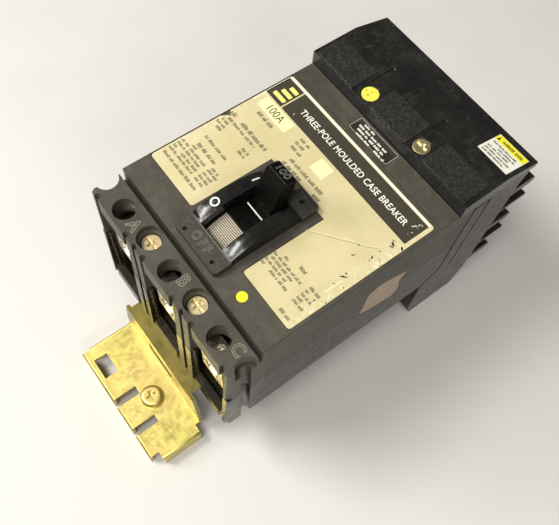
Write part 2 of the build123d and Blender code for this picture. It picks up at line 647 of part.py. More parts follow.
def strip_outline(near, far, half_width):
    """Corners of a straight strip along the spring, between two points on its axis."""
    across_x = uz * half_width
    across_z = ux * half_width
    return [(near[0] - across_x, near[1] + across_z), (far[0] - across_x, far[1] + across_z),
            (far[0] + across_x, far[1] - across_z), (near[0] + across_x, near[1] - across_z)]


with BuildPart() as toggle_springs:
    for y in (-9.0, 9.0):
        coil_x, coil_z = along_spring(coil_start)
        with BuildLine() as coil:
            Helix(pitch=coil_length / coil_turns, height=coil_length, radius=1.5,
                  center=(fx(coil_x), y, fz(coil_z)), direction=(ux, 0, uz))
        with BuildSketch(Plane(origin=coil.line @ 0, z_dir=coil.line % 0)) as wire_section:
            Circle(spring_wire)
        sweep(wire_section.sketch, path=coil.line)
        # ring on the handle's pin, long eye on the knee pin
        rod_y(pin_x, pin_z, y - 0.5, y + 0.5, 2.5)
        rod_y(pin_x, pin_z, y - 1, y + 1, 1.56, Mode.SUBTRACT)
        eye_far = along_spring(spring_length + eye_travel)
        lever_bar(knee_x, knee_z, *eye_far, y - 0.5, y + 0.5, eye_half, eye_slot)
        slab_y(strip_outline((knee_x, knee_z), eye_far, eye_slot), y - 1, y + 1, Mode.SUBTRACT)
        # straight hooks from the end turns to the ring and the eye
        for near, far in ((2.2, coil_start + 1.0), (spring_length - coil_start - 1.0, spring_length - 2.2)):
            slab_y(strip_outline(along_spring(near), along_spring(far), 0.6), y - 1.6, y + 0.5)
save(toggle_springs, "toggle_springs", "silver")

# ---- arc chutes ----
for name, y in zip(pole_name, pole_y):
    with BuildPart() as chute:
        for step in range(8):
            z = -56.0 + step * 5.2
            block(83.4, 105.0, y - 11.0, y + 11.0, z, z + 1.4)
        block(82.0, 97.0, y - 4.4, y + 4.4, -60, -10, Mode.SUBTRACT)
        for side in (-1, 1):
            low, high = sorted((y + side * 10.8, y + side * 12.0))
            block(83.0, 105.4, low, high, -58.5, -16.0)
    save(chute, "arc_chute_" + name, "slategray")

# ---- load terminals and trip unit ----
for name, y in zip(pole_name, pole_y):
    with BuildPart() as lug:
        block(-14.4, -4.6, y - 8.0, y + 8.0, -46.0, -24.0)
        rod_x(y, wire_z, -16, -3, wire_bore, Mode.SUBTRACT)
        post(lug_x, y, wire_z, -20, lug_screw_radius + 0.05, Mode.SUBTRACT)
    save(lug, "lug_" + name, "lightgray")

    with BuildPart() as lug_screw:
        post(lug_x, y, lug_screw_top_z - 12.0, lug_screw_top_z, lug_screw_radius)
        with BuildSketch(Plane.XY.offset(fz(lug_screw_top_z))) as socket:
            with Locations((fx(lug_x), y)):
                RegularPolygon(2.1, 6)
        extrude(socket.sketch, amount=-5.0, mode=Mode.SUBTRACT)
        chamfer(lug_screw.faces().sort_by(Axis.Z)[-1].outer_wire().edges(), 0.5)
    save(lug_screw, "lug_screw_" + name, "lightgray")

    with BuildPart() as armature:
        block(11.0, 12.4, y - 9.4, y + 9.4, -64.0, -44.0)
        block(11.0, 12.4, y - 3.0, y + 3.0, -44.5, -34.0)
        rod_y(11.7, -44.0, y - 10.6, y + 10.6, 0.9)
    save(armature, "armature_" + name, "slategray")

with BuildPart() as load_straps:
    for y in pole_y:
        strap_outline = [(-14.2, -48.2), (-14.2, -46.0), (6.2, -46.0), (6.2, -68.0),
                         (9.6, -68.0), (9.6, -70.2), (4.0, -70.2), (4.0, -48.2)]
        slab_y(strap_outline, y - 6.0, y + 6.0)
save(load_straps, "load_straps", "chocolate")

with BuildPart() as bimetals:
    for y in pole_y:
        block(7.4, 8.6, y - 4.0, y + 4.0, -68.0, -29.0)
save(bimetals, "bimetals", "lightgoldenrodyellow")

with BuildPart() as magnet_yokes:
    for y in pole_y:
        block(0.9, 2.4, y - 9.6, y + 9.6, -63.0, -49.5)
        for side in (-1, 1):
            low, high = sorted((y + side * 8.1, y + side * 9.6))
            block(0.9, 10.0, low, high, -63.0, -49.5)
save(magnet_yokes, "magnet_yokes", "slategray")

with BuildPart() as trip_bar:
    rod_y(16.0, -28.0, -47.0, 47.0, 2.6)
    for y in pole_y:
        block(13.3, 15.6, y - 5.5, y + 5.5, -38.0, -28.0)
        rod_x(y, -31.0, 9.4, 13.6, 1.0)
save(trip_bar, "trip_bar", "tan")

with BuildPart() as armature_brackets:
    for y in pole_y:
        for side in (-1, 1):
            low, high = sorted((y + side * 9.8, y + side * 11.2))
            slab_y([(9.0, base_floor_z), (18.0, base_floor_z), (18.0, -60.0), (14.6, -41.5), (9.4, -41.5),
                    (10.4, -48.0), (10.4, -60.0), (9.0, -68.0)], low, high)
            rod_y(11.7, -44.0, low - 1, high + 1, 0.98, Mode.SUBTRACT)
save(armature_brackets, "armature_brackets", "lightsteelblue")

# ---- braids between the bimetals and the contact arms ----
with BuildPart() as braids:
    for y in pole_y:
        with BuildLine(Plane.XZ.offset(-y)) as run:
            Spline((fx(10.0), fz(-70.6)), (fx(24.0), fz(-72.0)), (fx(40.0), fz(-70.0)), (fx(50.0), fz(-63.0)),
                   (fx(53.0), fz(-58.5)))
        with BuildSketch(Plane(origin=run.line @ 0, x_dir=(0, 1, 0), z_dir=run.line % 0)) as section:
            RectangleRounded(7.0, 1.8, 0.6)
        sweep(section.sketch, path=run.line)
save(braids, "braids", "chocolate")

# ---- mounting bracket ----
foot_under_z = foot_z - sheet
with BuildPart() as bracket:
    block(foot_x[0], foot_x[1], foot_y[0], foot_y[1], foot_under_z, foot_z)
    # turned-down flanges on three sides
    block(foot_x[0], foot_x[0] + sheet, foot_y[0] + 5.5, foot_y[1] - 3.0, -face_height, foot_z)
    block(foot_x[0] + 6.0, -29.0, foot_y[0], foot_y[0] + sheet, -face_height, foot_z)
    block(foot_x[0] + 5.2, foot_x[1] - 1.0, foot_y[1] - sheet, foot_y[1], -face_height, foot_z)
    top_edges = bracket.edges().filter_by(lambda e: e.center().Z > fz(foot_z - 0.1))
    outer_bends = top_edges.filter_by(lambda e: e.center().X < fx(foot_x[1] - 1))
    fillet(outer_bends, 1.6)
    # openings in the foot
    block(-54.0, -46.2, 13.8, 26.2, -130, -100, Mode.SUBTRACT)
    for low, high in ((-3.9, 1.0), (-22.7, -18.2)):
        block(-60.0, -43.3, low, high, -130, -100, Mode.SUBTRACT)
    block(-28.6, -20.0, -50.0, -35.6, -130, -100, Mode.SUBTRACT)
    block(-60.0, -51.9, -50.0, -36.2, -130, -100, Mode.SUBTRACT)
    block(-60.0, -52.4, 33.2, 50.0, -130, -100, Mode.SUBTRACT)
    post(bracket_screw_x, bracket_screw_y, -130, -100, 3.4, Mode.SUBTRACT)
    # riser and the flange under the case
    riser = [(-36.0, fz(foot_under_z)), (34.5, fz(foot_under_z)), (34.5, fz(-104.0)),
             (29.0, fz(base_bottom_z)), (-33.0, fz(base_bottom_z)), (-36.0, fz(-104.0))]
    with BuildSketch(Plane.YZ.offset(fx(-26.0))) as riser_outline:
        Polygon(*riser, align=None)
    extrude(riser_outline.sketch, amount=sheet)
    block(-26.0, 9.0, -29.0, 27.0, base_bottom_z - sheet, base_bottom_z)
    for side in (-1, 1):
        post(3.0, side * 10.0, -90, -70, 2.05, Mode.SUBTRACT)
    # lightening hole in the riser
    with BuildSketch(Plane.YZ.offset(fx(-27.0))) as riser_hole:
        with Locations((-1.0, fz(-95.0))):
            RectangleRounded(22.0, 11.0, 2.0)
    extrude(riser_hole.sketch, amount=sheet + 2, mode=Mode.SUBTRACT)
save(bracket, "bracket", "gold")

with BuildPart() as bracket_rivets:
    for side in (-1, 1):
        post(3.0, side * 10.0, -81.2, -79.6, 3.6)
        post(3.0, side * 10.0, -81.0, -73.0, 2.0)
        post(3.0, side * 10.0, base_floor_z, -72.8, 3.2)
save(bracket_rivets, "bracket_rivets", "lightsteelblue")

with BuildPart() as bracket_screw:
    post(bracket_screw_x, bracket_screw_y, foot_z + 0.1, foot_z + 3.4, 6.2)
    fillet(bracket_screw.edges().sort_by(Axis.Z)[-1], 2.2)
    # thin neck through the foot, then the threaded end
    post(bracket_screw_x, bracket_screw_y, bracket_thread_top_z, foot_z + 0.2, 2.6)
    post(bracket_screw_x, bracket_screw_y, bracket_thread_end_z, bracket_thread_top_z, bracket_thread_radius)
    # recess in the head
    driving_recess(bracket_screw_x, bracket_screw_y, foot_z + 1.8, foot_z + 5, 5.6, 5.6, 1.3)
save(bracket_screw, "bracket_screw", "lightgoldenrodyellow")
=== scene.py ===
import math
import random
import bmesh
import bpy
from mathutils import Matrix, Vector


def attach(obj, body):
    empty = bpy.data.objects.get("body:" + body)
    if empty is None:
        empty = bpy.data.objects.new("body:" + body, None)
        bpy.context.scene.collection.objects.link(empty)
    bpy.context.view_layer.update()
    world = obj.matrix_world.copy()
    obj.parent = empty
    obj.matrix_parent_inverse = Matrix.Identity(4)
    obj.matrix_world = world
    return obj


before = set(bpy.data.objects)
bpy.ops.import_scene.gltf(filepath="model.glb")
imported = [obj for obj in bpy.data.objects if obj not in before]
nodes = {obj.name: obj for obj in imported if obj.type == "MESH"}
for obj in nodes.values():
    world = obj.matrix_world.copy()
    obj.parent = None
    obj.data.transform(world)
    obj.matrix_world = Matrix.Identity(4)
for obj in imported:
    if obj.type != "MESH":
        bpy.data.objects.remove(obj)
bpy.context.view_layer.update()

# Positions below are written in millimetres from the cover's load-side edge (X), the middle (Y)
# and the front face (Z); at() turns them into the shared frame.
OFFSET = Vector((-0.0555, 0.0, 0.1225))
READ = (0, -1, 0)        # the direction in which the object's words are read
UP = (1, 0, 0)           # and the direction in which their letters stand


def at(x, y, z):
    return Vector((x / 1000, y / 1000, z / 1000)) + OFFSET


# ---------------------------------------------------------------- camera, light and floor
camera_data = bpy.data.cameras.new("camera")
camera_data.sensor_width = 36.0
camera_data.lens = 44.0
camera_data.clip_start = 0.01
camera = bpy.data.objects.new("camera", camera_data)
bpy.context.scene.collection.objects.link(camera)
# the camera's own right, down and ahead directions
right = Vector((0.79982849, -0.59804793, 0.05111815))
down = Vector((-0.52248498, -0.73562131, -0.43112729))
ahead = Vector((0.29543838, 0.31811942, -0.90084194))
spin = Matrix((right, -down, -ahead)).transposed()
camera.matrix_world = Matrix.Translation(at(-55.148, -114.938, 256.09)) @ spin.to_4x4()
bpy.context.scene.camera = camera


def lamp(name, place, aim, size, power, colour):
    """A soft rectangular light aimed at a point."""
    data = bpy.data.lights.new(name, "AREA")
    data.shape = "RECTANGLE"
    data.size, data.size_y = size
    data.energy = power
    data.color = colour
    obj = bpy.data.objects.new(name, data)
    obj.location = place
    obj.rotation_euler = (Vector(aim) - Vector(place)).to_track_quat("-Z", "Y").to_euler()
    bpy.context.scene.collection.objects.link(obj)


lamp("window", (-0.50, 0.43, 1.10), (0, 0, 0.1), (0.52, 0.24), 9.5, (1, 0.98, 0.92))
lamp("side", (-0.95, 0.95, 0.95), (0, 0, 0.05), (0.6, 0.5), 10, (1, 0.98, 0.92))
lamp("fill", (-0.35, -1.25, 1.15), (0, 0, 0.05), (0.8, 0.5), 6.5, (1, 0.98, 0.94))
lamp("overhead", (-0.65, -0.25, 1.6), (0, 0, 0.0), (0.6, 0.6), 13, (1, 0.99, 0.95))

# an even sky: a pale backdrop for the camera, and a little fill light on the object
world = bpy.data.worlds.new("studio")
world.use_nodes = True
sky = world.node_tree.nodes["Background"]
sky.inputs["Color"].default_value = (0.88, 0.88, 0.87, 1)
seen = world.node_tree.nodes.new("ShaderNodeLightPath")
level = world.node_tree.nodes.new("ShaderNodeMapRange")
level.inputs["To Min"].default_value = 0.11
level.inputs["To Max"].default_value = 0.62
world.node_tree.links.new(seen.outputs["Is Camera Ray"], level.inputs["Value"])
world.node_tree.links.new(level.outputs["Result"], sky.inputs["Strength"])
bpy.context.scene.world = world
# plain sRGB, so that the colours come out as they are written
bpy.context.scene.view_settings.view_transform = "Standard"


# ---------------------------------------------------------------- material helpers
class Graph:
    """A small writer of shader nodes; object coordinates are in millimetres."""

    def __init__(self, name):
        self.material = bpy.data.materials.new(name)
        self.material.use_nodes = True
        self.tree = self.material.node_tree
        self.shader = self.tree.nodes["Principled BSDF"]
        coords = self.tree.nodes.new("ShaderNodeTexCoord")
        scale = self.tree.nodes.new("ShaderNodeVectorMath")
        scale.operation = "SCALE"
        scale.inputs["Scale"].default_value = 1000
        self.tree.links.new(coords.outputs["Object"], scale.inputs[0])
        self.place = scale.outputs[0]
        self.height = None

    def link(self, a, b):
        self.tree.links.new(a, b)

    def mapped(self, stretch=(1, 1, 1), turn=(0, 0, 0)):
        node = self.tree.nodes.new("ShaderNodeMapping")
        node.inputs["Scale"].default_value = stretch
        node.inputs["Rotation"].default_value = [math.radians(a) for a in turn]
        self.link(self.place, node.inputs["Vector"])
        return node.outputs[0]

    def noise(self, scale, detail=4, rough=0.6, stretch=(1, 1, 1), turn=(0, 0, 0), warp=0.0):
        """Noise with features about 1/scale millimetres across, in 0..1."""
        node = self.tree.nodes.new("ShaderNodeTexNoise")
        node.inputs["Scale"].default_value = scale
        node.inputs["Detail"].default_value = detail
        node.inputs["Roughness"].default_value = rough
        node.inputs["Distortion"].default_value = warp
        self.link(self.mapped(stretch, turn), node.inputs["Vector"])
        return node.outputs["Fac"]

    def voronoi(self, scale):
        """Distance from the nearest of some scattered points."""
        node = self.tree.nodes.new("ShaderNodeTexVoronoi")
        node.inputs["Scale"].default_value = scale
        self.link(self.mapped(), node.inputs["Vector"])
        return node.outputs["Distance"]

    def wave(self, scale, turn=(0, 0, 0), warp=0.0):
        """Parallel threads across X, turned in degrees."""
        node = self.tree.nodes.new("ShaderNodeTexWave")
        node.inputs["Scale"].default_value = scale
        node.inputs["Distortion"].default_value = warp
        self.link(self.mapped(turn=turn), node.inputs["Vector"])
        return node.outputs["Fac"]

    def hairline(self, value, width):
        """Thin lines where a noise crosses its middle value."""
        away = self.maths("ABSOLUTE", self.maths("SUBTRACT", value, 0.5), 0)
        return self.band(away, width, 0.0)

    def band(self, value, low, high, out=(0.0, 1.0)):
        """Smooth step of a value between low and high."""
        node = self.tree.nodes.new("ShaderNodeMapRange")
        node.interpolation_type = "SMOOTHSTEP"
        node.inputs["From Min"].default_value = low
        node.inputs["From Max"].default_value = high
        node.inputs["To Min"].default_value = out[0]
        node.inputs["To Max"].default_value = out[1]
        self.link(value, node.inputs["Value"])
        return node.outputs["Result"]

    def maths(self, kind, a, b):
        node = self.tree.nodes.new("ShaderNodeMath")
        node.operation = kind
        for socket, value in zip(node.inputs, (a, b)):
            if isinstance(value, (int, float)):
                socket.default_value = value
            else:
                self.link(value, socket)
        return node.outputs[0]

    def mix(self, fac, a, b):
        node = self.tree.nodes.new("ShaderNodeMix")
        node.data_type = "RGBA"
        for socket, value in ((node.inputs[0], fac), (node.inputs[6], a), (node.inputs[7], b)):
            if isinstance(value, (int, float)):
                socket.default_value = value
            elif isinstance(value, (tuple, list)):
                socket.default_value = (*value[:3], 1)
            else:
                self.link(value, socket)
        return node.outputs[2]

    def axis(self, index):
        """One of the object's own coordinates, in millimetres."""
        node = self.tree.nodes.new("ShaderNodeSeparateXYZ")
        self.link(self.place, node.inputs[0])
        return node.outputs[index]

    def facing(self, index):
        """How far the surface looks along one axis of the frame."""
        geometry = self.tree.nodes.new("ShaderNodeNewGeometry")
        node = self.tree.nodes.new("ShaderNodeSeparateXYZ")
        self.link(geometry.outputs["Normal"], node.inputs[0])
        return node.outputs[index]

    def bump(self, value, strength, depth_mm):
        node = self.tree.nodes.new("ShaderNodeBump")
        node.inputs["Strength"].default_value = strength
        node.inputs["Distance"].default_value = depth_mm / 1000
        self.link(value, node.inputs["Height"])
        if self.height is not None:
            self.link(self.height, node.inputs["Normal"])
        self.height = node.outputs[0]

    def finish(self, colour, rough, **fixed):
        self.link(colour, self.shader.inputs["Base Color"])
        self.link(rough, self.shader.inputs["Roughness"])
        if self.height is not None:
            self.link(self.height, self.shader.inputs["Normal"])
        for key, value in fixed.items():
            self.shader.inputs[key.replace("_", " ")].default_value = value
        return self.material


def moulded(name, base, worn, rough=(0.42, 0.6), grain=0.25, dust=(0.30, 0.26, 0.21), dusting=0.25,
            scratches=0.35, specular=0.5):
    """Moulded plastic: cloudy tone, fine grain, settled dust and hairline scratches."""
    g = Graph(name)
    cloud = g.noise(0.045, 6, 0.62)
    colour = g.mix(g.band(cloud, 0.35, 0.7), base, worn)
    fine = g.noise(1.6, 5, 0.7)
    colour = g.mix(g.band(fine, 0.52, 0.75, (0, 0.35)), colour, worn)
    up = g.band(g.facing(2), 0.55, 0.98)
    film = g.maths("MULTIPLY", g.band(g.noise(0.11, 8, 0.68, warp=0.6), 0.46, 0.72, (0, dusting)), up)
    colour = g.mix(film, colour, dust)
    lines = None
    for angle, scale, width in ((24, 0.28, 0.012), (-38, 0.22, 0.010), (77, 0.25, 0.009)):
        streak = g.noise(scale, 2, 0.5, stretch=(9.0, 0.22, 1), turn=(0, 0, angle))
        line = g.maths("MULTIPLY", g.hairline(streak, width), g.band(g.noise(0.06, 3), 0.5, 0.62))
        lines = line if lines is None else g.maths("MAXIMUM", lines, line)
    colour = g.mix(g.maths("MULTIPLY", lines, scratches), colour, dust)
    tone = g.band(g.noise(0.3, 5, 0.7), 0.3, 0.75, rough)
    tone = g.maths("ADD", tone, g.maths("MULTIPLY", film, 0.5))
    g.bump(g.noise(2.2, 3, 0.6), grain, 0.05)
    g.bump(lines, 0.25, -0.03)
    return g.finish(colour, tone, Specular_IOR_Level=specular)


def metal(name, base, tint, rough=(0.25, 0.4), brush=0.2, mottle=0.3, stretch=(1, 12, 1)):
    """Bare metal: tarnished patches, dark specks and a drawn grain along one direction."""
    g = Graph(name)
    patch = g.noise(0.12, 6, 0.65, warp=0.5)
    colour = g.mix(g.band(patch, 0.38, 0.68, (0, mottle)), base, tint)
    speck = g.voronoi(0.55)
    colour = g.mix(g.band(speck, 0.16, 0.02, (0, 0.3)), colour, [c * 0.45 for c in tint])
    grain = g.noise(1.4, 3, 0.5, stretch=stretch)
    tone = g.band(g.noise(0.35, 5, 0.7), 0.3, 0.75, rough)
    g.bump(grain, brush, 0.02)
    return g.finish(colour, tone, Metallic=1.0)


# ---------------------------------------------------------------- materials
cover_grey = moulded("cover_grey", (0.056, 0.050, 0.038), (0.074, 0.067, 0.051), (0.42, 0.56), 0.22,
                     dust=(0.17, 0.15, 0.11), dusting=0.22, specular=0.35)
case_black = moulded("case_black", (0.013, 0.0105, 0.0065), (0.030, 0.024, 0.014), (0.20, 0.36), 0.25,
                     dust=(0.12, 0.10, 0.07), dusting=0.12, specular=0.22)
handle_black = moulded("handle_black", (0.002, 0.002, 0.0018), (0.005, 0.0048, 0.004), (0.22, 0.36), 0.05,
                       dust=(0.08, 0.075, 0.065), dusting=0.04, specular=0.1)
inner_black = moulded("inner_black", (0.006, 0.0055, 0.005), (0.012, 0.011, 0.010), (0.4, 0.6), 0.2,
                      dust=(0.06, 0.055, 0.045))
# mark_grey and mark_dark colour the raised outline letters on the moulding; their light tone is a painted
# highlight for the light caught on the letters' edges, and on the pole letters partly rubbed wear too
mark_grey = moulded("mark_grey", (0.50, 0.44, 0.33), (0.32, 0.28, 0.21), (0.3, 0.45), 0.1, dusting=0.1)
mark_dark = moulded("mark_dark", (0.26, 0.25, 0.21), (0.14, 0.135, 0.115), (0.22, 0.36), 0.1, dusting=0.1)


def bezel():
    """Escutcheon: gloss black over the hump, matt and rubbed on the two end blocks."""
    g = Graph("bezel_black")
    x = g.axis(0)
    off_block = g.band(x, -43.4, -44.2)
    on_block = g.band(x, -8.6, -7.6)
    ends = g.maths("MAXIMUM", off_block, on_block)
    cloud = g.noise(0.09, 6, 0.65)
    gloss = g.mix(g.band(cloud, 0.35, 0.7), (0.006, 0.006, 0.0055), (0.014, 0.0135, 0.012))
    matt = g.mix(g.band(g.noise(0.7, 8, 0.75), 0.42, 0.72), (0.030, 0.028, 0.019), (0.074, 0.067, 0.047))
    colour = g.mix(ends, gloss, matt)
    hair = g.noise(0.3, 3, 0.55, stretch=(0.25, 8, 1), turn=(0, 0, 8))
    line = g.maths("MULTIPLY", g.hairline(hair, 0.012), g.band(g.noise(0.08, 3), 0.47, 0.6))
    colour = g.mix(g.maths("MULTIPLY", line, 0.4), colour, (0.12, 0.115, 0.105))
    smooth = g.band(g.noise(0.25, 5, 0.7), 0.3, 0.7, (0.20, 0.24))
    tone = g.maths("ADD", g.maths("MULTIPLY", ends, 0.30), smooth)
    g.bump(g.maths("MULTIPLY", g.noise(1.6, 5, 0.7), ends), 0.5, 0.12)
    return g.finish(colour, tone, Specular_IOR_Level=0.55)


CAP_PADS = ((25.0, 51.0), (-12.2, 13.0), (-50.6, -23.2))


def scuffed():
    """The end cap: gloss black rubbed grey where it was handled."""
    g = Graph("cap_black")
    colour = g.mix(g.band(g.noise(0.07, 6), 0.35, 0.7), (0.009, 0.009, 0.008), (0.018, 0.0175, 0.016))
    rub = g.noise(0.55, 9, 0.78, stretch=(1, 1.6, 1), warp=0.8)
    area = g.band(g.noise(0.05, 4, 0.6), 0.42, 0.62)
    scuff = g.maths("MULTIPLY", g.band(rub, 0.50, 0.74), area)
    colour = g.mix(g.maths("MULTIPLY", scuff, 0.7), colour, (0.070, 0.067, 0.058))
    lines = g.noise(0.3, 3, 0.6, stretch=(0.35, 7, 1), turn=(0, 0, 20))
    line = g.maths("MULTIPLY", g.hairline(lines, 0.014), g.band(g.noise(0.09, 3), 0.48, 0.6))
    colour = g.mix(g.maths("MULTIPLY", line, 0.5), colour, (0.20, 0.19, 0.17))
    # the three raised pads are pitted all over
    x, y = g.axis(0), g.axis(1)
    pads = None
    for near, far in CAP_PADS:
        pad = g.maths("MULTIPLY", g.band(y, near - 0.1, near + 0.2), g.band(y, far + 0.1, far - 0.2))
        pads = pad if pads is None else g.maths("MAXIMUM", pads, pad)
    pads = g.maths("MULTIPLY", pads, g.maths("MULTIPLY", g.band(x, 51.8, 52.1), g.band(x, 68.0, 67.7)))
    pads = g.maths("MULTIPLY", pads, g.band(g.axis(2), 129.5, 129.8))
    pit = g.noise(0.85, 10, 0.8, warp=0.7)
    pitted = g.mix(g.band(pit, 0.44, 0.70), (0.012, 0.0117, 0.0105), (0.066, 0.063, 0.055))
    colour = g.mix(pads, colour, pitted)
    tone = g.maths("ADD", g.band(g.noise(0.2, 4), 0.3, 0.7, (0.14, 0.26)), g.maths("MULTIPLY", scuff, 0.35))
    tone = g.maths("ADD", tone, g.maths("MULTIPLY", pads, 0.2))
    g.bump(g.maths("MULTIPLY", pit, pads), 0.6, 0.2)
    g.bump(g.noise(1.8, 4, 0.7), 0.12, 0.06)
    g.bump(rub, 0.2, 0.05)
    return g.finish(colour, tone)


def label_paper():
    """Cream label with a cloudy tone, specks, a pale worn edge and faint creases."""
    g = Graph("label_cream")
    cloud = g.noise(0.05, 6, 0.65)
    colour = g.mix(g.band(cloud, 0.35, 0.7), (0.61, 0.53, 0.285), (0.67, 0.585, 0.34))
    colour = g.mix(g.band(g.noise(0.6, 8, 0.75), 0.55, 0.8, (0, 0.4)), colour, (0.49, 0.42, 0.225))
    wear = g.noise(0.5, 9, 0.8)
    far_edge = g.band(g.axis(1), 43, 52)
    near_edge = g.band(g.axis(1), -41, -51)
    edge = g.maths("MAXIMUM", far_edge, near_edge)
    colour = g.mix(g.maths("MULTIPLY", g.band(wear, 0.44, 0.66), edge), colour, (0.76, 0.70, 0.48))
    crease = g.noise(0.09, 3, 0.5, stretch=(0.5, 2.2, 1), turn=(0, 0, 28))
    away = g.maths("ABSOLUTE", g.maths("SUBTRACT", crease, 0.5), 0)
    g.bump(g.band(away, 0.0, 0.02), 0.35, 0.12)
    g.bump(g.noise(1.2, 4), 0.12, 0.04)
    return g.finish(colour, g.band(cloud, 0.3, 0.7, (0.36, 0.5)), Coat_Weight=0.25, Coat_Roughness=0.3)


def ink_and_painted_light(name, ink, fade, rough=(0.4, 0.55), rub=0.3):
    """Printed ink, rubbed thin in places; the same also makes the crease's painted shade and painted
    highlight on the label.
    """
    g = Graph(name)
    worn = g.noise(0.9, 8, 0.75)
    colour = g.mix(g.band(worn, 0.52, 0.74, (0, rub)), ink, fade)
    g.bump(g.noise(2.0, 3), 0.1, 0.02)
    return g.finish(colour, g.band(worn, 0.3, 0.7, rough))


def woven():
    """Glass-cloth patch behind the handle."""
    g = Graph("woven_patch")
    warp_threads = g.wave(0.36, warp=0.8)
    weft_threads = g.wave(0.36, turn=(0, 0, 90), warp=0.8)
    weave = g.maths("MULTIPLY", warp_threads, weft_threads)
    dirt = g.noise(1.1, 6, 0.7)
    colour = g.mix(g.band(weave, 0.05, 0.55), (0.07, 0.055, 0.035), (0.80, 0.71, 0.54))
    colour = g.mix(g.band(dirt, 0.5, 0.72, (0, 0.6)), colour, (0.22, 0.17, 0.11))
    g.bump(weave, 0.6, 0.2)
    return g.finish(colour, g.band(dirt, 0.3, 0.7, (0.45, 0.7)))


def zinc_gold():
    """Yellow passivated zinc: gold with faint pink and green tints."""
    g = Graph("zinc_gold")
    cloud = g.noise(0.03, 4, 0.5, warp=0.5)
    colour = g.mix(g.band(cloud, 0.34, 0.66), (0.66, 0.56, 0.16), (0.70, 0.54, 0.19))
    colour = g.mix(g.band(g.noise(0.05, 3, 0.5, warp=0.6), 0.5, 0.75, (0, 0.4)), colour, (0.58, 0.55, 0.15))
    speck = g.voronoi(0.42)
    colour = g.mix(g.band(speck, 0.2, 0.03, (0, 0.55)), colour, (0.32, 0.21, 0.05))
    fine = g.noise(1.5, 8, 0.75)
    colour = g.mix(g.band(fine, 0.46, 0.74, (0, 0.6)), colour, (0.40, 0.31, 0.08))
    # the upright wall is coloured a dark olive as painted shade, for the shade and dark reflection it shows
    # there; the far rim is coloured darker too
    riser_shade = g.maths("MULTIPLY", g.band(g.axis(0), -83.4, -82.7), g.band(g.axis(2), 10.8, 12.6))
    colour = g.mix(g.maths("MULTIPLY", riser_shade, 0.85), colour, (0.15, 0.125, 0.03))
    rim = g.maths("MULTIPLY", g.band(g.axis(0), -106.0, -112.5), 0.45)
    colour = g.mix(rim, colour, (0.34, 0.27, 0.07))
    tone = g.band(g.noise(0.25, 6, 0.7), 0.3, 0.75, (0.28, 0.46))
    g.bump(g.noise(0.35, 6, 0.6), 0.12, 0.12)
    g.bump(fine, 0.15, 0.03)
    return g.finish(colour, tone, Metallic=0.85)


def painted(name, paint, chipped, rough=(0.35, 0.5), chips=0.5):
    """Paint daubed on metal, chipped in places."""
    g = Graph(name)
    flake = g.noise(0.7, 7, 0.75, warp=0.4)
    colour = g.mix(g.band(flake, 0.55, 0.68, (0, chips)), paint, chipped)
    colour = g.mix(g.band(g.noise(0.3, 4), 0.35, 0.7, (0, 0.3)), colour, [c * 0.8 for c in paint])
    g.bump(flake, 0.4, 0.1)
    return g.finish(colour, g.band(flake, 0.3, 0.7, rough))


bezel_black = bezel()
cap_black = scuffed()
label_cream = label_paper()
zinc = zinc_gold()
brass = metal("brass_bright", (0.94, 0.80, 0.48), (0.66, 0.48, 0.22), (0.36, 0.52), 0.3, 0.5)
copper = metal("copper", (0.80, 0.45, 0.30), (0.55, 0.28, 0.16), (0.25, 0.42), 0.25, 0.5)
steel = metal("plain_steel", (0.56, 0.56, 0.55), (0.38, 0.36, 0.33), (0.28, 0.42), 0.25, 0.4)
silver = metal("contact_silver", (0.80, 0.79, 0.76), (0.55, 0.53, 0.48), (0.3, 0.45), 0.2, 0.5)
tinned = metal("tinned_lug", (0.82, 0.77, 0.65), (0.62, 0.52, 0.34), (0.22, 0.38), 0.3, 0.5, (12, 1, 1))
bimetal = metal("bimetal", (0.70, 0.64, 0.48), (0.52, 0.44, 0.30), (0.28, 0.4), 0.3, 0.4, (1, 1, 14))
yellow_paint = painted("yellow_paint", (0.78, 0.76, 0.10), (0.62, 0.50, 0.20), chips=0.4)
yellow_dot = ink_and_painted_light("yellow_dot", (0.93, 0.89, 0.02), (0.78, 0.70, 0.02), rub=0.25)
band_ink = ink_and_painted_light("band_ink", (0.050, 0.043, 0.030), (0.10, 0.088, 0.062), (0.38, 0.5), 0.35)
white_ink = ink_and_painted_light("white_ink", (0.88, 0.86, 0.74), (0.50, 0.46, 0.35), rub=0.3)
pale_ink = ink_and_painted_light("pale_print", (0.86, 0.84, 0.44), (0.76, 0.70, 0.36), rub=0.4)
grey_ink = ink_and_painted_light("grey_ink", (0.155, 0.125, 0.07), (0.42, 0.35, 0.18), rub=0.4)
# the next two colours: a darker cream for the painted shade line along the label's crease, and a paler cream
# for the painted highlight line beside it, which also colours the label's rubbed places
crease_shade = ink_and_painted_light("crease_shade", (0.36, 0.30, 0.16), (0.44, 0.37, 0.20), rub=0.5)
highlight_and_rubbed_cream = ink_and_painted_light("highlight_and_rubbed_cream", (0.80, 0.71, 0.44), (0.72, 0.63, 0.37), rub=0.5)
black_ink = ink_and_painted_light("black_ink", (0.05, 0.045, 0.035), (0.30, 0.26, 0.18), rub=0.5)
badge_ink = ink_and_painted_light("badge_ink", (0.80, 0.76, 0.20), (0.56, 0.52, 0.14), rub=0.25)
sticker_brown = ink_and_painted_light("sticker_brown", (0.022, 0.020, 0.016), (0.05, 0.046, 0.038), (0.3, 0.45), 0.4)
sticker_white = ink_and_painted_light("sticker_white", (0.88, 0.87, 0.74), (0.70, 0.68, 0.54), (0.3, 0.45), 0.35)
sticker_yellow = ink_and_painted_light("sticker_yellow", (0.92, 0.86, 0.03), (0.76, 0.68, 0.03), (0.3, 0.45), 0.25)
seal_paper = ink_and_painted_light("seal_paper", (0.44, 0.33, 0.23), (0.07, 0.05, 0.035), (0.5, 0.7), 0.9)
